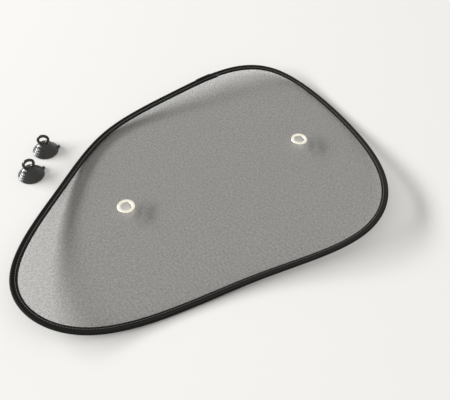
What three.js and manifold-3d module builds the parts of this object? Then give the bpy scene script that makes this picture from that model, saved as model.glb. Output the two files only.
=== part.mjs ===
// Car side window sunshade: a net panel in a bound spring hoop, with two eyelets for its two
// suction cups. Millimetres, +Z up. The shade lies on a flat surface at z = 0, with the origin
// below the middle of its outline. +X runs along its long side and +Y to the top of the window.

import * as THREE from 'three';
import { mergeVertices, toCreasedNormals } from 'three/addons/utils/BufferGeometryUtils.js';
import Module from 'manifold-3d';

// Outline: the edge is one smooth closed curve that these corner points pull into shape. The
// curve is then fitted to the length and width of the shade.
const SHADE_LENGTH = 430.7;
const SHADE_WIDTH = 348.1;
const PULL_POINTS = [
  [237, -43], [168, 202], [0, 136], [-102, 100], [-157, 13],
  [-245, -118], [-164, -205], [25, -154], [167, -160],
];

// Clearance between pieces that touch.
const CLEARANCE = 0.3;

// Wire hoop and the sleeve that joins its two ends.
const WIRE_RADIUS = 0.9;
const SLEEVE_WALL = 0.4;
const SLEEVE_LENGTH = 20;
const SLEEVE_PAST_LAP = 20;

// Edge binding: a tape folded over the wire and the edge of the net. It runs wider where its
// end comes round and laps over its start.
const TAPE = 0.6;
const BINDING_WIDE = 8;
const BINDING_NARROW = 7.2;
const LAP_STEP = 1.5;
const LAP_ANGLE = 68.3;
const SEAM_MARGIN = 2.6;
const THREAD_WIDTH = 0.5;
const THREAD_HEIGHT = 0.35;

// Net panel.
const NET = 0.4;
const NET_RINGS = [0, 0.2, 0.4, 0.6, 0.8, 0.92, 1];

// Eyelets, each clenched over a washer on the back of the net.
const EYELET_X = -89;
const EYELET_Y = -27;
const EYELET_SPACING_X = 224;
const EYELET_SPACING_Y = 53;
const EYELETS = [
  { side: 'left', x: EYELET_X, y: EYELET_Y },
  { side: 'right', x: EYELET_X + EYELET_SPACING_X, y: EYELET_Y + EYELET_SPACING_Y },
];
const EYELET_HOLE = 5.9;
const EYELET_WALL = 0.5;
const FLANGE_WIDTH = 4.1;
const FLANGE_RISE = 1.1;
const FLANGE_ROLL = 1.4;
const CLENCH_WIDTH = 1.4;
const CLENCH_THICKNESS = 0.5;
const WASHER_WIDTH = 2.8;
const WASHER_THICKNESS = 0.6;

// Suction cups: three moulded steps, a neck, a pull loop on top and a peel tab at the rim.
const CUP_X = -185.5;
const CUP_Y = 52.4;
const CUP_SPACING_X = 19.5;
const CUP_SPACING_Y = 35.5;
const CUPS = [
  { x: CUP_X, y: CUP_Y, loopTurn: 15 },
  { x: CUP_X + CUP_SPACING_X, y: CUP_Y + CUP_SPACING_Y, loopTurn: -2 },
];
const CUP_RADIUS = 15;
const CUP_HOLLOW = 3.6;
const CUP_LAND = 1.8;
const LIP = 1;
const STEPS = 3;
const STEP_SLOPE = 1.5;
const STEP_RISE = 1;
const SHOULDER_RADIUS = 9;
const NECK_RADIUS = 4.8;
const NECK_HEIGHT = 3.6;
const NECK_FLARE = 1;
const LOOP_HOLE = 4.2;
const LOOP_WALL = 3.2;
const LOOP_THICKNESS = 3.2;
const LOOP_BEVEL = 0.7;
const LOOP_SINK = 1.6;
const TAB_REACH = 2.4;
const TAB_WIDTH = 3.2;
const TAB_THICKNESS = 1.8;
const TAB_TURN = 10;

// Curl of the hoop: it touches the floor at three feet and its corners curl up between them.
const CURL = 5;
const CURL_REACH = 175;
const CURL_MIDDLE = 15;
const FIRST_FOOT = 20;

// Fineness of the round shapes.
const STATIONS = 96;
const WIRE_SIDES = 8;
const SLEEVE_STEPS = 6;
const ROUND_SIDES = 24;
const FOLD_SIDES = 6;
const ROLL_SIDES = 3;
const HOLLOW_SIDES = 3;
const CREASE = 0.6;

const wasm = await Module();
wasm.setup();

const TURN = 2 * Math.PI;
const radians = THREE.MathUtils.degToRad;

// Half thickness of the fold round the wire, half height of the slit for the net, and the
// radius of the sleeve and of the room round it.
const bulge = WIRE_RADIUS + CLEARANCE + TAPE;
const slit = NET / 2 + CLEARANCE;
const sleeveRadius = WIRE_RADIUS + CLEARANCE + SLEEVE_WALL;
const sleeveRoom = sleeveRadius + CLEARANCE;

// Closed cubic B-spline through the plan of the shade.
class Outline extends THREE.Curve {
  constructor(points) {
    super();
    this.points = points;
    this.arcLengthDivisions = 720;
  }

  getPoint(t, target = new THREE.Vector3()) {
    const count = this.points.length;
    const place = ((t % 1) + 1) % 1 * count;
    const first = Math.floor(place);
    const f = place - first;
    const weights = [
      (1 - f) ** 3,
      3 * f ** 3 - 6 * f ** 2 + 4,
      -3 * f ** 3 + 3 * f ** 2 + 3 * f + 1,
      f ** 3,
    ];
    target.set(0, 0, 0);
    weights.forEach((weight, k) => {
      target.addScaledVector(this.points[(first + k + count - 1) % count], weight / 6);
    });
    return target;
  }
}

// The outline, centred on its box and fitted to the length and width of the shade.
function fittedOutline() {
  const shape = new Outline(PULL_POINTS.map(([x, y]) => new THREE.Vector3(x, y, 0)));
  const box = new THREE.Box3().setFromPoints(shape.getPoints(shape.arcLengthDivisions));
  const middle = box.getCenter(new THREE.Vector3());
  const size = box.getSize(new THREE.Vector3());
  const fit = new THREE.Vector3(SHADE_LENGTH / size.x, SHADE_WIDTH / size.y, 1);
  return new Outline(shape.points.map((point) => point.sub(middle).multiply(fit)));
}

const outline = fittedOutline();
const outlineLength = outline.getLength();

// Share of the way round, counted anticlockwise from the lap, that lies nearest to an angle.
function shareAtAngle(degrees, middleX, start) {
  let best = 0;
  let bestMiss = Infinity;
  for (let i = 0; i < outline.arcLengthDivisions; i += 1) {
    const share = i / outline.arcLengthDivisions;
    const point = edgePoint(share, 0, start);
    const angle = Math.atan2(point.y, point.x - middleX);
    const off = angle - radians(degrees);
    const miss = Math.abs(Math.atan2(Math.sin(off), Math.cos(off)));
    if (miss < bestMiss) {
      best = share;
      bestMiss = miss;
    }
  }
  return best;
}

// Point of the plan, offset outwards from the edge, at a share of the way round.
function edgePoint(share, outwards, start) {
  const place = (((start + share) % 1) + 1) % 1;
  const point = outline.getPointAt(place);
  const along = outline.getTangentAt(place);
  return new THREE.Vector3(point.x + along.y * outwards, point.y - along.x * outwards, 0);
}

const lapStart = shareAtAngle(LAP_ANGLE, 0, 0);
const stations = [0, LAP_STEP / outlineLength];
for (let i = 1; i < STATIONS; i += 1) {
  stations.push(i / STATIONS);
}

// Height of the curled skin. The wave is that of a skin stretched over a bent rim, and the
// plane through its three feet is taken off, so that the hoop rests on all three.
function wave(x, y) {
  const reach = Math.hypot(x - CURL_MIDDLE, y) / CURL_REACH;
  const angle = Math.atan2(y, x - CURL_MIDDLE);
  return -CURL * reach ** 3 * Math.cos(3 * (angle - radians(FIRST_FOOT)));
}

const feet = [0, 1, 2].map((i) => {
  const foot = edgePoint(shareAtAngle(FIRST_FOOT + 120 * i, CURL_MIDDLE, lapStart), -bulge, lapStart);
  return foot.setZ(wave(foot.x, foot.y));
});
const restPlane = new THREE.Plane().setFromCoplanarPoints(...feet);

function aboveFeet(x, y) {
  const { normal, constant } = restPlane;
  return wave(x, y) + (normal.x * x + normal.y * y + constant) / normal.z;
}

const lowest = Math.min(...stations.map((share) => {
  const point = edgePoint(share, -bulge, lapStart);
  return aboveFeet(point.x, point.y);
}));

function skinHeight(x, y) {
  return aboveFeet(x, y) - lowest + bulge;
}

function skinNormal(x, y) {
  const step = 1;
  const riseX = (skinHeight(x + step, y) - skinHeight(x - step, y)) / (2 * step);
  const riseY = (skinHeight(x, y + step) - skinHeight(x, y - step)) / (2 * step);
  return new THREE.Vector3(-riseX, -riseY, 1).normalize();
}

// Raises a piece that was made on a flat plan onto the curled skin.
function curl(geometry) {
  const position = geometry.getAttribute('position');
  for (let i = 0; i < position.count; i += 1) {
    position.setZ(i, position.getZ(i) + skinHeight(position.getX(i), position.getY(i)));
  }
  return geometry;
}

// One closed body: shared vertices merged, triangles of no area dropped.
function merged(geometry) {
  const bare = geometry.clone();
  bare.deleteAttribute('normal');
  bare.deleteAttribute('uv');
  const body = mergeVertices(bare, 1e-4);
  const corners = body.getIndex().array;
  const kept = [];
  for (let i = 0; i < corners.length; i += 3) {
    const [a, b, c] = corners.slice(i, i + 3);
    if (a !== b && b !== c && c !== a) {
      kept.push(a, b, c);
    }
  }
  body.setIndex(kept);
  return body;
}

function toSolid(geometry) {
  const body = merged(geometry);
  return new wasm.Manifold(new wasm.Mesh({
    numProp: 3,
    vertProperties: new Float32Array(body.getAttribute('position').array),
    triVerts: new Uint32Array(body.getIndex().array),
  }));
}

function fromSolid(solid) {
  const { vertProperties, triVerts } = solid.getMesh();
  const geometry = new THREE.BufferGeometry();
  geometry.setAttribute('position', new THREE.BufferAttribute(vertProperties, 3));
  geometry.setIndex(new THREE.BufferAttribute(triVerts, 1));
  return geometry;
}

// Closed ring with a section that follows the edge. A section is a list of points, outwards
// and up from the edge, and it may change on the way round.
function ringAlongEdge(sectionAt) {
  const ring = new THREE.LatheGeometry([...sectionAt(0), sectionAt(0)[0]], stations.length);
  const count = sectionAt(0).length + 1;
  const position = ring.getAttribute('position');
  for (let i = 0; i <= stations.length; i += 1) {
    const share = stations[i % stations.length];
    const section = sectionAt(share);
    for (let j = 0; j < count; j += 1) {
      const { x, y } = section[j % section.length];
      const point = edgePoint(share, x, lapStart);
      position.setXYZ(i * count + j, point.x, point.y, y);
    }
  }
  return ring;
}

// Short length of the hoop line with square ends, for what sits round the joint of the wire.
function alongWire(shape, length) {
  const points = [];
  for (let i = 0; i <= SLEEVE_STEPS; i += 1) {
    const share = (SLEEVE_PAST_LAP + (i / SLEEVE_STEPS - 0.5) * length) / outlineLength;
    points.push(edgePoint(share, -bulge, lapStart));
  }
  return new THREE.ExtrudeGeometry(shape, {
    extrudePath: new THREE.CatmullRomCurve3(points),
    steps: SLEEVE_STEPS,
    curveSegments: WIRE_SIDES / 2,
  });
}

function disc(radius) {
  return new THREE.Shape().absarc(0, 0, radius, 0, TURN);
}

// Points of an arc of a ring's section, about the middle of the wire.
function arcRoundWire(radius, fromAngle, toAngle) {
  const arc = new THREE.EllipseCurve(-bulge, 0, radius, radius, fromAngle, toAngle, toAngle < fromAngle);
  return arc.getPoints(FOLD_SIDES);
}

// Width of the binding at a share of the way round from the lap.
function bindingWidth(share) {
  return share === 0 ? BINDING_NARROW : BINDING_WIDE - (BINDING_WIDE - BINDING_NARROW) * share;
}

// Edge binding: outside of the fold, less the room for the wire, the net and the sleeve.
function edgeBinding() {
  const halfFlange = slit + TAPE;
  const meet = Math.PI - Math.asin(halfFlange / bulge);
  const outside = (share) => [
    new THREE.Vector2(-bindingWidth(share), -halfFlange),
    ...arcRoundWire(bulge, -meet, meet),
    new THREE.Vector2(-bindingWidth(share), halfFlange),
  ];
  const wireRoom = WIRE_RADIUS + CLEARANCE;
  const leave = Math.PI - Math.asin(slit / wireRoom);
  const inside = () => [
    new THREE.Vector2(-BINDING_WIDE - TAPE, -slit),
    ...arcRoundWire(wireRoom, -leave, leave),
    new THREE.Vector2(-BINDING_WIDE - TAPE, slit),
  ];
  const roomLength = SLEEVE_LENGTH + 2 * CLEARANCE;
  const bump = alongWire(disc(sleeveRoom + TAPE), roomLength + 2 * TAPE);
  const room = alongWire(disc(sleeveRoom), roomLength);
  const fold = toSolid(curl(ringAlongEdge(outside)))
    .add(toSolid(curl(bump)))
    .subtract(toSolid(curl(ringAlongEdge(inside))))
    .subtract(toSolid(curl(room)));
  return fromSolid(fold);
}

// Spring wire hoop, with a thin gap where its two ends meet in the sleeve.
function hoopWire() {
  const section = () => {
    const points = new THREE.EllipseCurve(-bulge, 0, WIRE_RADIUS, WIRE_RADIUS).getPoints(WIRE_SIDES);
    return points.slice(0, WIRE_SIDES);
  };
  const share = SLEEVE_PAST_LAP / outlineLength;
  const middle = edgePoint(share, -bulge, lapStart);
  const along = outline.getTangentAt((lapStart + share) % 1);
  const across = 2 * sleeveRadius;
  const gap = new THREE.BoxGeometry(CLEARANCE, across, across);
  gap.rotateZ(Math.atan2(along.y, along.x));
  gap.translate(middle.x, middle.y, 0);
  return fromSolid(toSolid(curl(ringAlongEdge(section))).subtract(toSolid(curl(gap))));
}

// Crimped steel sleeve over the two ends of the wire.
function wireSleeve() {
  const section = disc(sleeveRadius);
  section.holes.push(new THREE.Path().absarc(0, 0, sleeveRadius - SLEEVE_WALL, 0, TURN));
  return curl(alongWire(section, SLEEVE_LENGTH));
}

// Seam thread on one face of the binding: face is 1 above and -1 below.
function seamThread(face) {
  const base = slit + TAPE + CLEARANCE;
  const seam = SEAM_MARGIN - BINDING_WIDE;
  const corners = [
    new THREE.Vector2(seam - THREAD_WIDTH / 2, face * base),
    new THREE.Vector2(seam + THREAD_WIDTH / 2, face * base),
    new THREE.Vector2(seam, face * (base + THREAD_HEIGHT)),
  ];
  return curl(ringAlongEdge(() => (face > 0 ? corners : corners.toReversed())));
}

// Net panel: a thin skin from the middle of the shade to its edge in the fold of the binding.
function netPanel() {
  const top = NET_RINGS.map((ring) => new THREE.Vector2(ring, NET / 2));
  const back = top.map(({ x }) => new THREE.Vector2(x, -NET / 2));
  const profile = [...back, ...top.toReversed()];
  const skin = new THREE.LatheGeometry(profile, stations.length);
  const position = skin.getAttribute('position');
  for (let i = 0; i <= stations.length; i += 1) {
    const edge = edgePoint(stations[i % stations.length], -bulge - sleeveRoom, lapStart);
    profile.forEach(({ x, y }, j) => {
      position.setXYZ(i * profile.length + j, edge.x * x, edge.y * x, y);
    });
  }
  const holeRadius = EYELET_HOLE + EYELET_WALL + CLEARANCE;
  const holes = EYELETS.map((eyelet) => {
    const punch = new THREE.CylinderGeometry(holeRadius, holeRadius, holeRadius, ROUND_SIDES);
    return toSolid(setOnSkin(punch.rotateX(Math.PI / 2), eyelet));
  });
  return fromSolid(holes.reduce((panel, hole) => panel.subtract(hole), toSolid(curl(skin))));
}

// Sets a piece made about the Z axis square onto the skin at a place of the plan.
function setOnSkin(geometry, { x, y }) {
  const place = new THREE.Vector3(x, y, skinHeight(x, y));
  const turn = new THREE.Quaternion().setFromUnitVectors(new THREE.Vector3(0, 0, 1), skinNormal(x, y));
  return geometry.applyMatrix4(new THREE.Matrix4().compose(place, turn, new THREE.Vector3(1, 1, 1)));
}

// Turns a closed profile of [radius, height] pairs about the Z axis.
function turned(profile) {
  const points = profile.map(([radius, height]) => new THREE.Vector2(radius, height));
  return new THREE.LatheGeometry(points, ROUND_SIDES).rotateX(Math.PI / 2);
}

// Quarter round of a profile, from one angle to another, as [radius, height] pairs.
function quarterRound(radius, height, width, rise, fromAngle, toAngle) {
  const curve = new THREE.EllipseCurve(radius, height, width, rise, fromAngle, toAngle);
  return curve.getPoints(ROLL_SIDES).map(({ x, y }) => [x, y]);
}

// Eyelet: a rolled flange on the face, a barrel through the net and a clenched edge behind.
function eyelet(place) {
  const seat = NET / 2 + CLEARANCE;
  const barrel = EYELET_HOLE + EYELET_WALL;
  const outerRoll = EYELET_HOLE + FLANGE_WIDTH - FLANGE_ROLL;
  const innerRoll = EYELET_HOLE + FLANGE_ROLL;
  const clenchTop = -seat - WASHER_THICKNESS - CLEARANCE;
  const clenchEnd = clenchTop - CLENCH_THICKNESS;
  return setOnSkin(turned([
    [EYELET_HOLE, clenchEnd],
    [barrel + CLENCH_WIDTH, clenchEnd],
    [barrel + CLENCH_WIDTH, clenchTop],
    [barrel, clenchTop],
    [barrel, seat],
    ...quarterRound(outerRoll, seat, FLANGE_ROLL, FLANGE_RISE, 0, Math.PI / 2),
    ...quarterRound(innerRoll, seat, FLANGE_ROLL, FLANGE_RISE, Math.PI / 2, Math.PI),
    [EYELET_HOLE, clenchEnd],
  ]), place);
}

function washer(place) {
  const bore = EYELET_HOLE + EYELET_WALL + CLEARANCE;
  const top = -NET / 2 - CLEARANCE;
  const back = top - WASHER_THICKNESS;
  return setOnSkin(turned([
    [bore, back],
    [bore + WASHER_WIDTH, back],
    [bore + WASHER_WIDTH, top],
    [bore, top],
    [bore, back],
  ]), place);
}

// Suction cup, one soft moulding that stands on its lip.
function suctionCup({ x, y, loopTurn }) {
  const land = CUP_RADIUS - CUP_LAND;
  const stepRun = (CUP_RADIUS - SHOULDER_RADIUS) / STEPS;
  const profile = [];
  for (let i = 0; i <= HOLLOW_SIDES; i += 1) {
    const angle = (i / HOLLOW_SIDES) * (Math.PI / 2);
    profile.push([land * Math.sin(angle), CUP_HOLLOW * Math.cos(angle)]);
  }
  profile.push([CUP_RADIUS, 0], [CUP_RADIUS, LIP]);
  let radius = CUP_RADIUS;
  let height = LIP;
  for (let i = 0; i < STEPS; i += 1) {
    radius -= stepRun;
    height += STEP_SLOPE;
    profile.push([radius, height]);
    height += STEP_RISE;
    profile.push([radius, height]);
  }
  const crown = height + NECK_HEIGHT;
  profile.push([NECK_RADIUS + NECK_FLARE, height + NECK_HEIGHT / 2], [NECK_RADIUS, crown], [0, crown]);

  const loopRadius = LOOP_HOLE + LOOP_WALL;
  const ring = disc(loopRadius - LOOP_BEVEL);
  ring.holes.push(new THREE.Path().absarc(0, 0, LOOP_HOLE + LOOP_BEVEL, 0, TURN));
  const loop = new THREE.ExtrudeGeometry(ring, {
    depth: LOOP_THICKNESS - 2 * LOOP_BEVEL,
    bevelThickness: LOOP_BEVEL,
    bevelSize: LOOP_BEVEL,
    bevelSegments: 1,
    curveSegments: ROUND_SIDES / 2,
  });
  loop.translate(0, 0, LOOP_BEVEL - LOOP_THICKNESS / 2);
  loop.rotateX(Math.PI / 2);
  loop.translate(0, 0, crown + loopRadius - LOOP_SINK);

  const tabLength = TAB_REACH + stepRun;
  const tab = new THREE.BoxGeometry(tabLength, TAB_WIDTH, TAB_THICKNESS);
  tab.translate(CUP_RADIUS + TAB_REACH - tabLength / 2, 0, (LIP + TAB_THICKNESS) / 2);
  tab.rotateZ(radians(TAB_TURN));

  const cup = fromSolid(toSolid(turned(profile)).add(toSolid(loop)).add(toSolid(tab)));
  return cup.rotateZ(radians(loopTurn)).translate(x, y, 0);
}

// Materials.
const blackNet = new THREE.MeshStandardMaterial({
  color: 0x1c1c1b,
  roughness: 0.85,
  metalness: 0,
  transparent: true,
  opacity: 0.55,
});
const blackTape = new THREE.MeshStandardMaterial({ color: 0x2a2a29, roughness: 0.8, metalness: 0 });
const greyThread = new THREE.MeshStandardMaterial({ color: 0x5a5856, roughness: 0.7, metalness: 0 });
const springSteel = new THREE.MeshStandardMaterial({ color: 0x8d8f92, roughness: 0.35, metalness: 1 });
const nickelPlate = new THREE.MeshStandardMaterial({ color: 0xe6dfcf, roughness: 0.22, metalness: 1 });
const softVinyl = new THREE.MeshStandardMaterial({ color: 0x1b1a19, roughness: 0.25, metalness: 0 });

const shade = new THREE.Group();

function addPiece(name, geometry, material) {
  const mesh = new THREE.Mesh(toCreasedNormals(merged(geometry), CREASE), material);
  mesh.name = name;
  shade.add(mesh);
}

addPiece('net_panel', netPanel(), blackNet);
addPiece('hoop_wire', hoopWire(), springSteel);
addPiece('wire_sleeve', wireSleeve(), springSteel);
addPiece('edge_binding', edgeBinding(), blackTape);
addPiece('needle_thread', seamThread(1), greyThread);
addPiece('bobbin_thread', seamThread(-1), greyThread);
EYELETS.forEach((place) => {
  addPiece(`eyelet_${place.side}`, eyelet(place), nickelPlate);
  addPiece(`washer_${place.side}`, washer(place), nickelPlate);
});
CUPS.forEach((place, i) => addPiece(`suction_cup_${i + 1}`, suctionCup(place), softVinyl));

export default shade;
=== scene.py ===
# A car side window sunshade and its two suction cups, lying on a white floor.
# Metres, +Z up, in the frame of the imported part.

import math
from bisect import bisect_right

import bmesh
import bpy
from mathutils import Matrix, Vector
from mathutils.geometry import delaunay_2d_cdt


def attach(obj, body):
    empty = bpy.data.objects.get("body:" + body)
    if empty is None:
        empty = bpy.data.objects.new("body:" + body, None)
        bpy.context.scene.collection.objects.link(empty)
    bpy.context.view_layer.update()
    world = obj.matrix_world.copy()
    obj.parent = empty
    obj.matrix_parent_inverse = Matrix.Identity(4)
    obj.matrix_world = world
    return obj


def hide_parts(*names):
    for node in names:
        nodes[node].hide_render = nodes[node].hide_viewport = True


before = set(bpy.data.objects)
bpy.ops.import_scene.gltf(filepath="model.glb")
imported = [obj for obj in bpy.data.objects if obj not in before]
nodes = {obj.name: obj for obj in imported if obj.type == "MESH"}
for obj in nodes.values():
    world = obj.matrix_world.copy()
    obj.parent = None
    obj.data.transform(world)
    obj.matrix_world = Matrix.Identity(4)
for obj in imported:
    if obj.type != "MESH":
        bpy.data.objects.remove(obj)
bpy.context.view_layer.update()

# Camera. It stands in front of the shade and a little to the left, looks down on it at the
# photograph's angle, and is tipped a few degrees anticlockwise.
MM = 0.001
camera_aim = Vector((21.2, -39.3, 0)) * MM
camera_distance = 682 * MM
camera_azimuth = math.radians(-19)
camera_elevation = math.radians(50)
camera_roll = math.radians(3.7)

towards_camera = Vector((
    math.sin(camera_azimuth) * math.cos(camera_elevation),
    -math.cos(camera_azimuth) * math.cos(camera_elevation),
    math.sin(camera_elevation),
))
camera = bpy.data.objects.new("camera", bpy.data.cameras.new("camera"))
camera.data.sensor_width = 36
camera.data.lens = 48
camera.data.clip_start = 0.01
camera.location = camera_aim + camera_distance * towards_camera
camera_turn = (-towards_camera).to_track_quat("-Z", "Y").to_matrix() @ Matrix.Rotation(camera_roll, 3, "Z")
camera.rotation_euler = camera_turn.to_euler()
bpy.context.scene.collection.objects.link(camera)
bpy.context.scene.camera = camera
bpy.context.scene.view_settings.view_transform = "Standard"


# Floor. A sheet of smooth white painted board, far larger than the shade. It only carries
# the object and its shadow.
def linear(hex_colour):
    """Linear RGBA of an sRGB hex colour."""
    channels = [int(hex_colour[i:i + 2], 16) / 255 for i in (0, 2, 4)]
    return tuple(c / 12.92 if c <= 0.04045 else ((c + 0.055) / 1.055) ** 2.4 for c in channels) + (1,)


def add_node(tree, kind, sockets=None, **settings):
    """Adds a node with its settings. sockets gives each input a value or another node's output."""
    node = tree.nodes.new(kind)
    for setting, value in settings.items():
        setattr(node, setting, value)
    for socket, value in (sockets or {}).items():
        if isinstance(value, bpy.types.NodeSocket):
            tree.links.new(value, node.inputs[socket])
        else:
            node.inputs[socket].default_value = value
    return node


def new_material(name):
    """An empty node material, and its tree."""
    material = bpy.data.materials.new(name)
    material.use_nodes = True
    material.node_tree.nodes.clear()
    return material, material.node_tree


def add_piece(name, mesh, material):
    """Puts a mesh into the scene as a piece with its material."""
    piece = bpy.data.objects.new(name, mesh)
    mesh.materials.append(material)
    mesh.shade_smooth()
    bpy.context.scene.collection.objects.link(piece)
    return piece


floor_size = 16
floor_drop = 0.1 * MM


def painted_board():
    """Matt white paint: an even, pale surface with no gloss."""
    material, tree = new_material("matt_white_paint")
    mottle = add_node(tree, "ShaderNodeTexNoise", {"Scale": 3.0, "Detail": 2.0})
    tint = add_node(tree, "ShaderNodeMix", {
        "Factor": mottle.outputs["Fac"],
        "A": linear("F9F9F7"),
        "B": linear("F7F7F5"),
    }, data_type="RGBA")
    paint = add_node(tree, "ShaderNodeBsdfPrincipled", {
        "Base Color": tint.outputs["Result"],
        "Roughness": 0.9,
        "Specular IOR Level": 0.1,
    })
    add_node(tree, "ShaderNodeOutputMaterial", {"Surface": paint.outputs["BSDF"]})
    return material


floor_mesh = bpy.data.meshes.new("floor")
floor_reach = floor_size / 2
floor_corners = [(-floor_reach, -floor_reach), (floor_reach, -floor_reach),
                 (floor_reach, floor_reach), (-floor_reach, floor_reach)]
floor_mesh.from_pydata([(x, y, -floor_drop) for x, y in floor_corners], [], [(0, 1, 2, 3)])
floor = add_piece("floor", floor_mesh, painted_board())


# Light. A wide soft panel stands low at the left and a little behind, so that its light comes
# in under the raised corners of the hoop, and a pale room gives the rest.
room_strength = 0.51
room_colour = "FFFDF9"
panel_power = 1470
panel_width = 10.5
panel_height = 1.2
panel_distance = 9.0
panel_azimuth = math.radians(-67)
panel_elevation = math.radians(17.5)

world = bpy.data.worlds.new("pale_room")
world.use_nodes = True
world.node_tree.nodes.clear()
bpy.context.scene.world = world
path = add_node(world.node_tree, "ShaderNodeLightPath")
seen = add_node(world.node_tree, "ShaderNodeMath", {
    0: path.outputs["Is Camera Ray"],
    1: path.outputs["Is Glossy Ray"],
}, operation="MAXIMUM")
seen_through = add_node(world.node_tree, "ShaderNodeMath", {
    0: seen.outputs[0],
    1: path.outputs["Is Transmission Ray"],
}, operation="MAXIMUM")
room = add_node(world.node_tree, "ShaderNodeBackground", {
    "Color": linear(room_colour),
    "Strength": room_strength,
})
backdrop = add_node(world.node_tree, "ShaderNodeBackground", {
    "Color": linear("F9F9F7"),
    "Strength": 1.0,
})
choice = add_node(world.node_tree, "ShaderNodeMixShader", {
    0: seen_through.outputs[0],
    1: room.outputs[0],
    2: backdrop.outputs[0],
})
add_node(world.node_tree, "ShaderNodeOutputWorld", {"Surface": choice.outputs[0]})

panel = bpy.data.objects.new("light_panel", bpy.data.lights.new("light_panel", "AREA"))
panel.data.shape = "RECTANGLE"
panel.data.size = panel_width
panel.data.size_y = panel_height
panel.data.energy = panel_power
from_panel = Vector((
    math.sin(panel_azimuth) * math.cos(panel_elevation),
    math.cos(panel_azimuth) * math.cos(panel_elevation),
    math.sin(panel_elevation),
))
panel.location = from_panel * panel_distance
panel.rotation_euler = from_panel.to_track_quat("Z", "Y").to_euler()
bpy.context.scene.collection.objects.link(panel)


# Net panel. A black polyester net, warp knitted into small round holes, cut to the shape of
# the window and caught all round in the binding. It is stretched over the curled hoop.
PULL_POINTS = [
    (237, -43), (168, 202), (0, 136), (-102, 100), (-157, 13),
    (-245, -118), (-164, -205), (25, -154), (167, -160),
]
shade_length = 430.7 * MM
shade_width = 348.1 * MM
lap_angle = math.radians(68.3)
fold_radius = 1.8 * MM
curl_height = 5 * MM
curl_reach = 175 * MM
curl_middle = 15 * MM
first_foot = math.radians(20)
net_inset = 3.7 * MM
net_grid = 6 * MM
net_edge_step = 3 * MM
eyelet_places = {"left": Vector((-89, -27)) * MM, "right": Vector((135, 26)) * MM}
eyelet_hole = 5.9 * MM
eyelet_wall = 0.5 * MM
hole_sides = 32
margin_steps = 240


def spline_point(t):
    """Point of the outline, a closed cubic B-spline, and its slope, at a share of its parameter."""
    count = len(PULL_POINTS)
    place = (t % 1) * count
    first = int(place)
    f = place - first
    weights = ((1 - f) ** 3, 3 * f ** 3 - 6 * f ** 2 + 4, -3 * f ** 3 + 3 * f ** 2 + 3 * f + 1, f ** 3)
    slopes = (-(1 - f) ** 2, 3 * f ** 2 - 4 * f, -3 * f ** 2 + 2 * f + 1, f ** 2)
    point = Vector((0, 0))
    slope = Vector((0, 0))
    for k in range(4):
        pull = Vector(PULL_POINTS[(first + k + count - 1) % count])
        point += pull * weights[k] / 6
        slope += pull * slopes[k]
    return point, slope


spline_steps = 2880
spline_points = [spline_point(i / spline_steps)[0] for i in range(spline_steps + 1)]
spline_low = Vector((min(p.x for p in spline_points), min(p.y for p in spline_points)))
spline_high = Vector((max(p.x for p in spline_points), max(p.y for p in spline_points)))
spline_middle = (spline_low + spline_high) / 2
spline_size = spline_high - spline_low
fit = Vector((shade_length / spline_size.x, shade_width / spline_size.y))
outline = [(p - spline_middle) * fit for p in spline_points]
distances = [0.0]
for before, after in zip(outline, outline[1:]):
    distances.append(distances[-1] + (after - before).length)
outline_length = distances[-1]


def edge_frame(distance):
    """Point of the edge at a distance along it, and the direction outwards there."""
    along = distance % outline_length
    i = min(bisect_right(distances, along) - 1, spline_steps - 1)
    part = (along - distances[i]) / (distances[i + 1] - distances[i])
    point, slope = spline_point((i + part) / spline_steps)
    slope *= fit
    outwards = Vector((slope.y, -slope.x)).normalized()
    return (point - spline_middle) * fit, outwards


def distance_at_angle(angle, middle_x):
    """Distance along the edge of the point that lies at an angle about a middle."""
    def miss(i):
        off = math.atan2(outline[i].y, outline[i].x - middle_x) - angle
        return abs(math.atan2(math.sin(off), math.cos(off)))

    return distances[min(range(spline_steps), key=miss)]


lap_start = distance_at_angle(lap_angle, 0)


def edge_point(distance, outwards):
    """Point of the plan, counted anticlockwise from the lap of the binding."""
    point, away = edge_frame(lap_start + distance)
    return point + away * outwards


def wave(x, y):
    reach = math.hypot(x - curl_middle, y) / curl_reach
    angle = math.atan2(y, x - curl_middle)
    return -curl_height * reach ** 3 * math.cos(3 * (angle - first_foot))


feet = []
for i in range(3):
    along = distance_at_angle(first_foot + i * math.tau / 3, curl_middle) - lap_start
    foot = edge_point(along, -fold_radius)
    feet.append(Vector((foot.x, foot.y, wave(foot.x, foot.y))))
rest_normal = (feet[1] - feet[0]).cross(feet[2] - feet[0]).normalized()


def above_feet(x, y):
    return wave(x, y) + rest_normal.dot(Vector((x, y, 0)) - feet[0]) / rest_normal.z


rim_points = [edge_point(outline_length * i / spline_steps, -fold_radius) for i in range(spline_steps)]
lowest_rim = min(above_feet(p.x, p.y) for p in rim_points)


def skin_height(x, y):
    """Height of the middle of the skin above the floor."""
    return above_feet(x, y) - lowest_rim + fold_radius


def inside_edge(point, edge):
    """Whether a point of the plan lies inside a closed line."""
    inside = False
    for a, b in zip(edge, edge[1:] + edge[:1]):
        if (a.y > point.y) != (b.y > point.y):
            if point.x < a.x + (point.y - a.y) / (b.y - a.y) * (b.x - a.x):
                inside = not inside
    return inside


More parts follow.
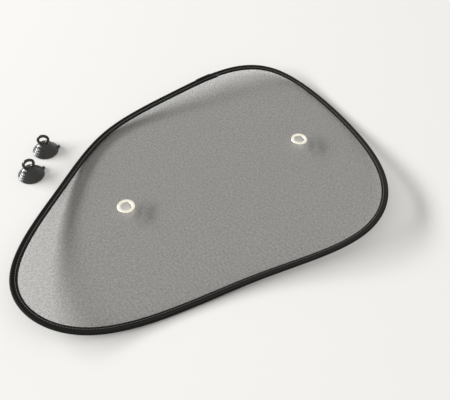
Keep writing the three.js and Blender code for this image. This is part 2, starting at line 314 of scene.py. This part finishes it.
def net_mesh():
    """Triangles over the plan, with a hole punched for each eyelet, raised onto the skin."""
    count = round(outline_length / net_edge_step)
    edge = [edge_point(outline_length * i / count, -net_inset) for i in range(count)]
    loops = [edge]
    punch = eyelet_hole + eyelet_wall
    for middle in eyelet_places.values():
        turn = [math.tau * i / hole_sides for i in range(hole_sides)]
        loops.append([middle + Vector((math.cos(a), math.sin(a))) * punch for a in turn])
    points = []
    lines = []
    for loop in loops:
        first = len(points)
        points += loop
        lines += [(first + i, first + (i + 1) % len(loop)) for i in range(len(loop))]
    row_step = net_grid * math.sqrt(3) / 2
    rows = round(shade_width / row_step)
    columns = round(shade_length / net_grid)
    margin = -net_inset - net_grid / 2
    inner = [edge_point(outline_length * i / margin_steps, margin) for i in range(margin_steps)]
    for row in range(-rows // 2, rows // 2 + 1):
        for column in range(-columns // 2, columns // 2 + 1):
            point = Vector(((column + row % 2 / 2) * net_grid, row * row_step))
            clear = all((point - middle).length > punch + net_grid / 3 for middle in eyelet_places.values())
            if clear and inside_edge(point, inner):
                points.append(point)
    corners, _, triangles, _, _, _ = delaunay_2d_cdt(points, lines, [], 1, 1e-7)
    kept = []
    for triangle in triangles:
        middle = sum((corners[i] for i in triangle), Vector((0, 0))) / 3
        if all((middle - hole).length > punch * 0.98 for hole in eyelet_places.values()):
            kept.append(triangle)
    mesh = bpy.data.meshes.new("net_panel")
    mesh.from_pydata([(p.x, p.y, skin_height(p.x, p.y)) for p in corners], [], kept)
    cut = mesh.uv_layers.new(name="cut")
    for loop in mesh.loops:
        cut.data[loop.index].uv = mesh.vertices[loop.vertex_index].co.xy
    return mesh


def knitted_net():
    """Warp knitted polyester: dull black yarns round small holes, which turn what lies behind
    it grey. The real holes are under 1 mm apart, and are drawn 1.4 mm apart so that they show.
    The net is denser to every ray but the camera's own, which sets the depth of its shadow."""
    pitch = 1.4 * MM
    open_above = -0.92
    edge_softness = 0.25
    side_cover = 0.42
    material, tree = new_material("warp_knitted_polyester")
    plan = add_node(tree, "ShaderNodeUVMap", uv_map="cut")
    unevenness = add_node(tree, "ShaderNodeTexNoise", {
        "Vector": plan.outputs["UV"],
        "Scale": 0.6 / pitch,
        "Detail": 3.0,
    })
    total = None
    for turn in (90, 210, 330):
        angle = math.radians(turn)
        wave_number = math.tau * 2 / math.sqrt(3) / pitch
        across = (math.cos(angle) * wave_number, math.sin(angle) * wave_number, 0)
        along = add_node(tree, "ShaderNodeVectorMath", {
            0: plan.outputs["UV"],
            1: across,
        }, operation="DOT_PRODUCT")
        ripple = add_node(tree, "ShaderNodeMath", {0: along.outputs["Value"]}, operation="COSINE")
        if total is None:
            total = ripple
        else:
            total = add_node(tree, "ShaderNodeMath", {
                0: total.outputs[0],
                1: ripple.outputs[0],
            }, operation="ADD")
    shift = add_node(tree, "ShaderNodeMapRange", {
        "Value": unevenness.outputs["Fac"],
        "To Min": -0.6,
        "To Max": 0.6,
    })
    level = add_node(tree, "ShaderNodeMath", {
        0: total.outputs[0],
        1: shift.outputs["Result"],
    }, operation="ADD")
    yarn = add_node(tree, "ShaderNodeMapRange", {
        "Value": level.outputs[0],
        "From Min": open_above - edge_softness,
        "From Max": open_above + edge_softness,
        "To Min": 1.0,
        "To Max": 0.0,
    })
    ray = add_node(tree, "ShaderNodeLightPath")
    passed = add_node(tree, "ShaderNodeMath", {
        0: ray.outputs["Is Camera Ray"],
        1: side_cover,
        2: 1 - side_cover,
    }, operation="MULTIPLY_ADD")
    hole = add_node(tree, "ShaderNodeMath", {0: 1.0, 1: yarn.outputs["Result"]}, operation="SUBTRACT")
    opening = add_node(tree, "ShaderNodeMath", {
        0: hole.outputs[0],
        1: passed.outputs[0],
    }, operation="MULTIPLY")
    cover = add_node(tree, "ShaderNodeMath", {0: 1.0, 1: opening.outputs[0]}, operation="SUBTRACT")
    tint = add_node(tree, "ShaderNodeMix", {
        "Factor": unevenness.outputs["Fac"],
        "A": linear("231E16"),
        "B": linear("3D3427"),
    }, data_type="RGBA")
    round_yarn = add_node(tree, "ShaderNodeBump", {
        "Height": yarn.outputs["Result"],
        "Strength": 0.6,
        "Distance": 0.2 * MM,
    })
    knit = add_node(tree, "ShaderNodeBsdfPrincipled", {
        "Base Color": tint.outputs["Result"],
        "Roughness": 0.6,
        "IOR": 1.54,
        "Specular IOR Level": 0.3,
        "Alpha": cover.outputs[0],
        "Normal": round_yarn.outputs["Normal"],
    })
    add_node(tree, "ShaderNodeOutputMaterial", {"Surface": knit.outputs["BSDF"]})
    return material


net = add_piece("net_cloth", net_mesh(), knitted_net())
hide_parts("net_panel")
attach(net, "root")


# Hoop. Hard drawn spring steel wire, bent into one ring, with its two ends crimped in a short
# steel sleeve. Both lie hidden inside the binding.
def drawn_steel():
    """Drawn spring steel: grey, its shine varied by fine noise."""
    line_spacing = 0.2 * MM
    material, tree = new_material("drawn_spring_steel")
    place = add_node(tree, "ShaderNodeTexCoord")
    lines = add_node(tree, "ShaderNodeTexNoise", {
        "Vector": place.outputs["Object"],
        "Scale": 1 / line_spacing,
    })
    shine = add_node(tree, "ShaderNodeMapRange", {
        "Value": lines.outputs["Fac"],
        "To Min": 0.28,
        "To Max": 0.42,
    })
    steel = add_node(tree, "ShaderNodeBsdfPrincipled", {
        "Base Color": linear("8D8F92"),
        "Metallic": 1.0,
        "Roughness": shine.outputs["Result"],
    })
    add_node(tree, "ShaderNodeOutputMaterial", {"Surface": steel.outputs["BSDF"]})
    return material


steel = drawn_steel()
for name in ("hoop_wire", "wire_sleeve"):
    nodes[name].data.materials.clear()
    nodes[name].data.materials.append(steel)


# Edge binding. A woven polyester tape folded over the wire and the edge of the net, and sewn
# through. Its end comes round the shade and laps over its start.
binding_wide = 8 * MM
binding_narrow = 7.2 * MM
flange_half = 1.1 * MM
slit_half = 0.5 * MM
wire_room = 1.2 * MM
seam_line = -5.4 * MM
seam_half_width = 0.8 * MM
seam_depth = 0.28 * MM
selvedge = 0.3 * MM
lap_length = 13 * MM
lap_thickness = 0.25 * MM
stitch_count = 384
stitch_pitch = outline_length / stitch_count
steps_a_stitch = 4
lap_end = 0.4 * MM
sleeve_past_lap = 20 * MM
sleeve_length = 20 * MM
sleeve_swell = 0.7 * MM


def tape_width(distance):
    return binding_wide - (binding_wide - binding_narrow) * distance / outline_length


def seam_dip(u, distance):
    """Depth of the groove that the stitches draw into the tape."""
    near = max(0.0, 1 - ((u - seam_line) / seam_half_width) ** 2)
    pull = 0.75 + 0.25 * math.cos(math.tau * distance / stitch_pitch)
    return seam_depth * near ** 2 * pull


def half_height(u, distance):
    """Half thickness of the outside of the binding at a place u outwards from the edge."""
    swell = 0.0
    off = abs(distance - sleeve_past_lap) - sleeve_length / 2
    if off < 2 * MM:
        swell = sleeve_swell * min(1.0, (2 * MM - off) / (2 * MM))
    lapped = lap_thickness if distance < lap_length else 0.0
    from_wire = u + fold_radius
    radius = fold_radius + swell
    flange = flange_half + lapped - seam_dip(u, distance)
    if abs(from_wire) >= radius:
        return flange if from_wire < 0 else 0.0
    dome = math.sqrt(radius ** 2 - from_wire ** 2) + lapped * (1 - max(0.0, from_wire) / radius)
    return max(flange, dome) if from_wire < 0 else dome


def binding_section(distance):
    """Closed section of the binding, as points outwards and up from the edge."""
    width = tape_width(distance)
    upper = []
    rounding = 4
    for i in range(rounding):
        angle = math.pi / 2 * i / rounding
        u = -width + selvedge * (1 - math.cos(angle))
        edge_height = slit_half + (half_height(-width + selvedge, distance) - slit_half) * math.sin(angle)
        upper.append((u, edge_height))
    flat = 10
    for i in range(flat):
        u = -width + selvedge + (width - selvedge - 2 * fold_radius) * i / flat
        upper.append((u, half_height(u, distance)))
    fold = 10
    for i in range(fold + 1):
        angle = math.pi * (1 - i / fold)
        u = -fold_radius + fold_radius * math.cos(angle)
        upper.append((u, half_height(u, distance)))
    lower = [(u, -v) for u, v in reversed(upper[:-1])]
    room = []
    room_sides = 8
    opening = math.asin(slit_half / wire_room)
    for i in range(room_sides + 1):
        angle = -math.pi + opening + (math.tau - 2 * opening) * i / room_sides
        room.append((-fold_radius + wire_room * math.cos(angle), wire_room * math.sin(angle)))
    return upper + lower + room


def ring_mesh(name, section_at, stations):
    """Closed ring whose section follows the edge, with its length and girth as a UV map."""
    sections = [section_at(distance) for distance in stations]
    size = len(sections[0])
    corners = []
    for distance, section in zip(stations, sections):
        point, away = edge_frame(lap_start + distance)
        for u, v in section:
            spot = point + away * u
            corners.append((spot.x, spot.y, skin_height(spot.x, spot.y) + v))
    count = len(stations)
    faces = []
    for i in range(count):
        for j in range(size):
            k = (j + 1) % size
            n = (i + 1) % count
            faces.append((i * size + j, n * size + j, n * size + k, i * size + k))
    mesh = bpy.data.meshes.new(name)
    mesh.from_pydata(corners, [], faces)
    girths = [0.0]
    for a, b in zip(sections[0], sections[0][1:] + sections[0][:1]):
        girths.append(girths[-1] + math.dist(a, b))
    along = list(stations) + [outline_length]
    tape_map = mesh.uv_layers.new(name="tape")
    for i in range(count):
        for j in range(size):
            first = (i * size + j) * 4
            places = ((along[i], girths[j]), (along[i + 1], girths[j]),
                      (along[i + 1], girths[j + 1]), (along[i], girths[j + 1]))
            for corner, place in enumerate(places):
                tape_map.data[first + corner].uv = place
    return mesh


def woven_tape():
    """Woven polyester tape: charcoal, with slanting ribs in relief, and a painted sheen on them: the colour
    is lighter along the rib tops and darker in the grooves. The real ribs are 0.5 mm apart, and are drawn 1.3
    mm apart so that they show."""
    rib_spacing = 1.3 * MM
    yarn_spacing = 0.5 * MM
    material, tree = new_material("woven_polyester_tape")
    place = add_node(tree, "ShaderNodeUVMap", uv_map="tape")
    slant = add_node(tree, "ShaderNodeMapping", {
        "Vector": place.outputs["UV"],
        "Rotation": (0, 0, math.radians(35)),
    })
    ribs = add_node(tree, "ShaderNodeTexWave", {
        "Vector": slant.outputs["Vector"],
        "Scale": math.tau / 20 / rib_spacing,
        "Distortion": 1.2,
        "Detail": 2.0,
        "Detail Scale": 0.3,
    }, wave_profile="SIN")
    yarns = add_node(tree, "ShaderNodeTexNoise", {
        "Vector": place.outputs["UV"],
        "Scale": 1 / yarn_spacing,
        "Detail": 2.0,
    })
    worn = add_node(tree, "ShaderNodeTexNoise", {"Vector": place.outputs["UV"], "Scale": 45.0, "Detail": 4.0})
    # Painted sheen: the base colour is lighter along the rib tops and darker in the grooves between them.
    rib_painted_sheen = add_node(tree, "ShaderNodeMix", {
        "Factor": ribs.outputs["Fac"],
        "A": linear("0F0F0E"),
        "B": linear("232221"),
    }, data_type="RGBA")
    tint = add_node(tree, "ShaderNodeMix", {
        "Factor": worn.outputs["Fac"],
        "A": rib_painted_sheen.outputs["Result"],
        "B": linear("191817"),
    }, data_type="RGBA")
    relief = add_node(tree, "ShaderNodeMath", {
        0: yarns.outputs["Fac"],
        1: 0.4,
        2: ribs.outputs["Fac"],
    }, operation="MULTIPLY_ADD")
    bump = add_node(tree, "ShaderNodeBump", {
        "Height": relief.outputs[0],
        "Strength": 0.7,
        "Distance": 0.15 * MM,
    })
    cloth = add_node(tree, "ShaderNodeBsdfPrincipled", {
        "Base Color": tint.outputs["Result"],
        "Roughness": 0.75,
        "IOR": 1.54,
        "Specular IOR Level": 0.12,
        "Normal": bump.outputs["Normal"],
    })
    add_node(tree, "ShaderNodeOutputMaterial", {"Surface": cloth.outputs["BSDF"]})
    return material


binding_steps = stitch_count * steps_a_stitch
binding_stations = [outline_length * i / binding_steps for i in range(binding_steps)]
binding_stations.append(outline_length - lap_end)
binding_stations.sort()
binding_mesh = ring_mesh("tape_binding", binding_section, binding_stations)
binding = add_piece("tape_binding", binding_mesh, woven_tape())
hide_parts("edge_binding")
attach(binding, "root")


# Seam. One row of lockstitch in spun polyester thread, through tape, net and tape. The needle
# thread shows on the face and the bobbin thread on the back, each pulled into the tape.
thread_radius = 0.27 * MM
stitch_length = stitch_pitch * 0.86
stitch_rings = 7
stitch_sides = 6
tuft_length = 5 * MM
tuft_rings = 8


def add_tube(corners, faces, spine, radii):
    """Adds a closed tube with round ends along a spine of points."""
    first = len(corners)
    for i, middle in enumerate(spine):
        ahead = spine[min(i + 1, len(spine) - 1)] - spine[max(i - 1, 0)]
        side = ahead.cross(Vector((0, 0, 1))).normalized()
        up = side.cross(ahead).normalized()
        for j in range(stitch_sides):
            angle = math.tau * j / stitch_sides
            corners.append(middle + (side * math.cos(angle) + up * math.sin(angle)) * radii[i])
    for i in range(len(spine) - 1):
        for j in range(stitch_sides):
            k = (j + 1) % stitch_sides
            row = first + i * stitch_sides
            faces.append((row + j, row + k, row + stitch_sides + k, row + stitch_sides + j))
    faces.append(tuple(first + j for j in reversed(range(stitch_sides))))
    last = first + (len(spine) - 1) * stitch_sides
    faces.append(tuple(last + j for j in range(stitch_sides)))


def seam_mesh(name, face):
    """Row of stitches on one face of the binding: face is 1 above and -1 below."""
    corners = []
    faces = []
    for stitch in range(stitch_count):
        middle = (stitch + 0.5) * stitch_pitch
        spine = []
        radii = []
        for i in range(stitch_rings):
            part = 2 * i / (stitch_rings - 1) - 1
            distance = middle + part * stitch_length / 2
            spot = edge_point(distance, seam_line)
            tape_top = half_height(seam_line, distance % outline_length)
            rise = tape_top + thread_radius * (0.75 - 1.5 * part ** 4)
            spine.append(Vector((spot.x, spot.y, skin_height(spot.x, spot.y) + face * rise)))
            radii.append(thread_radius * math.sqrt(max(0.12, 1 - 0.75 * part ** 4)))
        add_tube(corners, faces, spine, radii)
    if face > 0:
        add_tuft(corners, faces)
    mesh = bpy.data.meshes.new(name)
    mesh.from_pydata(corners, [], faces)
    return mesh


def add_tuft(corners, faces):
    """Cut ends of the seam at the lap, which stick out over the net."""
    strands = ((0.0, -0.5), (1.2 * MM, 0.25), (0.6 * MM, 0.9))
    for shift, lean in strands:
        start, away = edge_frame(lap_start + shift)
        inwards = (-away + Vector((-away.y, away.x)) * lean).normalized()
        spine = []
        radii = []
        for i in range(tuft_rings):
            part = i / (tuft_rings - 1)
            spot = start + away * (seam_line - 1 * MM) + inwards * tuft_length * part
            lift = flange_half + 0.5 * MM * math.sin(math.pi * part) + 0.2 * MM
            spine.append(Vector((spot.x, spot.y, skin_height(spot.x, spot.y) + lift)))
            radii.append(thread_radius * 0.5 * (1 - 0.4 * part))
        add_tube(corners, faces, spine, radii)


def spun_thread():
    """Spun polyester thread: dark grey, softly shining, with its twist just showing."""
    twist_spacing = 0.4 * MM
    material, tree = new_material("spun_polyester_thread")
    place = add_node(tree, "ShaderNodeTexCoord")
    twist = add_node(tree, "ShaderNodeTexNoise", {
        "Vector": place.outputs["Object"],
        "Scale": 1 / twist_spacing,
        "Detail": 2.0,
    })
    tint = add_node(tree, "ShaderNodeMix", {
        "Factor": twist.outputs["Fac"],
        "A": linear("3A3937"),
        "B": linear("7B7873"),
    }, data_type="RGBA")
    bump = add_node(tree, "ShaderNodeBump", {
        "Height": twist.outputs["Fac"],
        "Strength": 0.5,
        "Distance": 0.1 * MM,
    })
    thread = add_node(tree, "ShaderNodeBsdfPrincipled", {
        "Base Color": tint.outputs["Result"],
        "Roughness": 0.5,
        "IOR": 1.54,
        "Sheen Weight": 0.2,
        "Normal": bump.outputs["Normal"],
    })
    add_node(tree, "ShaderNodeOutputMaterial", {"Surface": thread.outputs["BSDF"]})
    return material


thread_material = spun_thread()
for name, node_name, face in (("face_stitches", "needle_thread", 1), ("back_stitches", "bobbin_thread", -1)):
    stitches = add_piece(name, seam_mesh(name, face), thread_material)
    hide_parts(node_name)
    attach(stitches, "root")


# Eyelets. Each is pressed from thin brass and nickel plated, set through the net and clenched
# over a washer behind it. The face shows a broad flange, rolled over at both edges.
flange_width = 4.1 * MM
flange_rise = 1.1 * MM
flange_roll = 1.4 * MM
clench_width = 1.4 * MM
washer_width = 2.8 * MM
washer_thickness = 0.6 * MM
net_thickness = 0.4 * MM
seat_gap = 0.1 * MM
turned_sides = 96
roll_steps = 10


def skin_normal(x, y):
    step = 1 * MM
    rise_x = (skin_height(x + step, y) - skin_height(x - step, y)) / (2 * step)
    rise_y = (skin_height(x, y + step) - skin_height(x, y - step)) / (2 * step)
    return Vector((-rise_x, -rise_y, 1)).normalized()


def turned_mesh(name, profile, sides=turned_sides):
    """Closed ring turned from a closed profile of radius and height pairs about the Z axis."""
    corners = []
    for i in range(sides):
        angle = math.tau * i / sides
        corners += [(r * math.cos(angle), r * math.sin(angle), z) for r, z in profile]
    size = len(profile)
    faces = []
    for i in range(sides):
        n = (i + 1) % sides
        for j in range(size):
            k = (j + 1) % size
            faces.append((i * size + j, n * size + j, n * size + k, i * size + k))
    mesh = bpy.data.meshes.new(name)
    mesh.from_pydata(corners, [], faces)
    return mesh


def arc(radius, height, width, rise, start, end, steps=roll_steps):
    """Points of an arc of a profile, with angles in degrees."""
    points = []
    for i in range(steps + 1):
        angle = math.radians(start + (end - start) * i / steps)
        points.append((radius + width * math.cos(angle), height + rise * math.sin(angle)))
    return points


def set_on_skin(mesh, place):
    """Sets a mesh made about the Z axis square onto the net."""
    turn = Vector((0, 0, 1)).rotation_difference(skin_normal(place.x, place.y)).to_matrix().to_4x4()
    mesh.transform(Matrix.Translation((place.x, place.y, skin_height(place.x, place.y))) @ turn)
    return mesh


def eyelet_profile():
    seat = net_thickness / 2 + seat_gap
    barrel = eyelet_hole + eyelet_wall
    outer = eyelet_hole + flange_width
    back = -net_thickness / 2 - seat_gap - washer_thickness
    return (
        arc(barrel + clench_width / 2, back, clench_width / 2, 0.7 * MM, 0, -180)
        + [(eyelet_hole, back + 0.5 * MM)]
        + arc(eyelet_hole + flange_roll, seat, flange_roll, flange_rise, 180, 90)
        + arc(outer - flange_roll, seat, flange_roll, flange_rise, 90, 0)
        + [(outer - 0.4 * MM, seat - 0.05 * MM), (barrel + 0.2 * MM, seat)]
        + [(barrel, seat - 0.2 * MM), (barrel, back)]
    )


def washer_profile():
    bore = eyelet_hole + eyelet_wall + 0.2 * MM
    top = -net_thickness / 2 - seat_gap / 2
    half = washer_thickness / 2
    edge = 0.2 * MM
    return (
        arc(bore + edge, top - half, edge, half, 270, 90)
        + arc(bore + washer_width - edge, top - half, edge, half, 90, -90)
    )


def nickel_plate():
    """Bright nickel on pressed brass: a warm white mirror, dulled by fine scratches and by the
    slight waviness of the pressing."""
    scratch_spacing = 0.35 * MM
    waviness = 4 * MM
    material, tree = new_material("nickel_plated_brass")
    place = add_node(tree, "ShaderNodeTexCoord")
    scratches = add_node(tree, "ShaderNodeTexNoise", {
        "Vector": place.outputs["Object"],
        "Scale": 1 / scratch_spacing,
        "Detail": 3.0,
    })
    shine = add_node(tree, "ShaderNodeMapRange", {
        "Value": scratches.outputs["Fac"],
        "To Min": 0.16,
        "To Max": 0.34,
    })
    waves = add_node(tree, "ShaderNodeTexNoise", {"Vector": place.outputs["Object"], "Scale": 1 / waviness})
    bump = add_node(tree, "ShaderNodeBump", {
        "Height": waves.outputs["Fac"],
        "Strength": 0.15,
        "Distance": 0.2 * MM,
    })
    tint = add_node(tree, "ShaderNodeMix", {
        "Factor": waves.outputs["Fac"],
        "A": linear("FAF8F2"),
        "B": linear("F4EAD0"),
    }, data_type="RGBA")
    plate = add_node(tree, "ShaderNodeBsdfPrincipled", {
        "Base Color": tint.outputs["Result"],
        "Metallic": 1.0,
        "Roughness": shine.outputs["Result"],
        "Normal": bump.outputs["Normal"],
    })
    add_node(tree, "ShaderNodeOutputMaterial", {"Surface": plate.outputs["BSDF"]})
    return material


nickel = nickel_plate()
for side, place in eyelet_places.items():
    for form, profile in (("eyelet", eyelet_profile()), ("washer", washer_profile())):
        name = f"{side}_{form}"
        ring = add_piece(name, set_on_skin(turned_mesh(name, profile), place), nickel)
        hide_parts(f"{form}_{side}")
        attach(ring, "root")


# Suction cups. Each is moulded in one piece from soft black vinyl: a stepped cup with a thin
# sealing lip, a neck, a pull loop on top and a peel tab at the rim. Both stand on the floor.
cup_places = [(-185.5 * MM, 52.4 * MM, math.radians(15)), (-166 * MM, 87.9 * MM, math.radians(-2))]
cup_radius = 15 * MM
cup_hollow = 3.6 * MM
cup_land = 1.8 * MM
lip = 1 * MM
step_count = 3
step_slope = 1.5 * MM
step_rise = 1 * MM
shoulder_radius = 9 * MM
neck_radius = 4.8 * MM
neck_height = 3.6 * MM
neck_flare = 1 * MM
loop_hole = 4.2 * MM
loop_wall = 3.2 * MM
loop_thickness = 3.2 * MM
loop_sink = 1.6 * MM
tab_reach = 2.4 * MM
tab_width = 3.2 * MM
tab_thickness = 1.8 * MM
tab_turn = math.radians(10)
moulding_voxel = 0.3 * MM
moulding_rounding = 5


def solid_of_turning(bm, profile):
    """Adds a solid turned from a profile that starts and ends on the Z axis."""
    rings = []
    for radius, height in profile:
        if radius == 0:
            rings.append([bm.verts.new((0, 0, height))] * turned_sides)
        else:
            turn = [math.tau * i / turned_sides for i in range(turned_sides)]
            rings.append([bm.verts.new((radius * math.cos(a), radius * math.sin(a), height)) for a in turn])
    for low, high in zip(rings, rings[1:]):
        for i in range(turned_sides):
            n = (i + 1) % turned_sides
            corners = dict.fromkeys((low[i], low[n], high[n], high[i]))
            bm.faces.new(tuple(corners))


def cup_profile():
    land = cup_radius - cup_land
    profile = []
    for degrees in range(0, 91, 9):
        angle = math.radians(degrees)
        profile.append((land * math.sin(angle), cup_hollow * math.cos(angle)))
    profile[0] = (0, cup_hollow)
    profile += [(cup_radius - 0.3 * MM, 0), (cup_radius, 0.3 * MM), (cup_radius, lip)]
    radius = cup_radius
    height = lip
    for _ in range(step_count):
        radius -= (cup_radius - shoulder_radius) / step_count
        height += step_slope
        profile.append((radius, height))
        height += step_rise
        profile.append((radius, height))
    crown = height + neck_height
    profile += [(neck_radius + neck_flare, height + neck_height / 2), (neck_radius, crown), (0, crown)]
    return profile, crown


def cup_mesh(name):
    """Cup, loop and tab, melted together into one moulding with soft edges."""
    profile, crown = cup_profile()
    bm = bmesh.new()
    solid_of_turning(bm, profile)
    ring_radius = loop_hole + loop_wall / 2
    ring_height = crown + loop_hole + loop_wall - loop_sink
    ring_sides = 20
    section = []
    for j in range(ring_sides):
        angle = math.tau * j / ring_sides
        squareness = 0.72
        section.append((
            math.copysign(abs(math.cos(angle)) ** squareness, math.cos(angle)) * loop_wall / 2,
            math.copysign(abs(math.sin(angle)) ** squareness, math.sin(angle)) * loop_thickness / 2,
        ))
    rows = []
    for i in range(turned_sides):
        angle = math.tau * i / turned_sides
        row = []
        for out, side in section:
            reach = ring_radius + out
            row.append(bm.verts.new((reach * math.cos(angle), side, ring_height + reach * math.sin(angle))))
        rows.append(row)
    for i in range(turned_sides):
        for j in range(ring_sides):
            k = (j + 1) % ring_sides
            n = (i + 1) % turned_sides
            bm.faces.new((rows[i][j], rows[i][k], rows[n][k], rows[n][j]))
    tab_length = tab_reach + (cup_radius - shoulder_radius) / step_count
    place = (
        Matrix.Rotation(tab_turn, 4, "Z")
        @ Matrix.Translation((cup_radius + tab_reach - tab_length / 2, 0, (lip + tab_thickness) / 2))
        @ Matrix.Diagonal((tab_length, tab_width, tab_thickness, 1))
    )
    bmesh.ops.create_cube(bm, size=1, matrix=place)
    bmesh.ops.recalc_face_normals(bm, faces=bm.faces)
    mesh = bpy.data.meshes.new(name)
    bm.to_mesh(mesh)
    bm.free()
    rough = bpy.data.objects.new(name, mesh)
    bpy.context.scene.collection.objects.link(rough)
    melt = rough.modifiers.new("melt", "REMESH")
    melt.mode = "VOXEL"
    melt.voxel_size = moulding_voxel
    soften = rough.modifiers.new("soften", "SMOOTH")
    soften.factor = 0.5
    soften.iterations = moulding_rounding
    shaped = bpy.data.meshes.new_from_object(rough.evaluated_get(bpy.context.evaluated_depsgraph_get()))
    bpy.data.objects.remove(rough)
    bpy.data.meshes.remove(mesh)
    return shaped


def soft_vinyl():
    """Plasticised PVC from a polished mould: near black, wet looking, with faint flow marks."""
    flow_spacing = 6 * MM
    grain_spacing = 0.6 * MM
    material, tree = new_material("moulded_soft_pvc")
    place = add_node(tree, "ShaderNodeTexCoord")
    flow = add_node(tree, "ShaderNodeTexNoise", {
        "Vector": place.outputs["Object"],
        "Scale": 1 / flow_spacing,
        "Detail": 2.0,
        "Distortion": 0.6,
    })
    grain = add_node(tree, "ShaderNodeTexNoise", {
        "Vector": place.outputs["Object"],
        "Scale": 1 / grain_spacing,
        "Detail": 3.0,
    })
    tint = add_node(tree, "ShaderNodeMix", {
        "Factor": flow.outputs["Fac"],
        "A": linear("0F0E0D"),
        "B": linear("191816"),
    }, data_type="RGBA")
    shine = add_node(tree, "ShaderNodeMapRange", {
        "Value": grain.outputs["Fac"],
        "To Min": 0.14,
        "To Max": 0.26,
    })
    relief = add_node(tree, "ShaderNodeMath", {
        0: grain.outputs["Fac"],
        1: 0.1,
        2: flow.outputs["Fac"],
    }, operation="MULTIPLY_ADD")
    bump = add_node(tree, "ShaderNodeBump", {
        "Height": relief.outputs[0],
        "Strength": 0.25,
        "Distance": 0.5 * MM,
    })
    vinyl = add_node(tree, "ShaderNodeBsdfPrincipled", {
        "Base Color": tint.outputs["Result"],
        "Roughness": shine.outputs["Result"],
        "IOR": 1.53,
        "Normal": bump.outputs["Normal"],
    })
    add_node(tree, "ShaderNodeOutputMaterial", {"Surface": vinyl.outputs["BSDF"]})
    return material


vinyl = soft_vinyl()
for i, (x, y, turn) in enumerate(cup_places):
    name = f"moulded_cup_{i + 1}"
    moulding = cup_mesh(name)
    moulding.transform(Matrix.Translation((x, y, 0)) @ Matrix.Rotation(turn, 4, "Z"))
    cup = add_piece(name, moulding, vinyl)
    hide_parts(f"suction_cup_{i + 1}")
    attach(cup, "root")
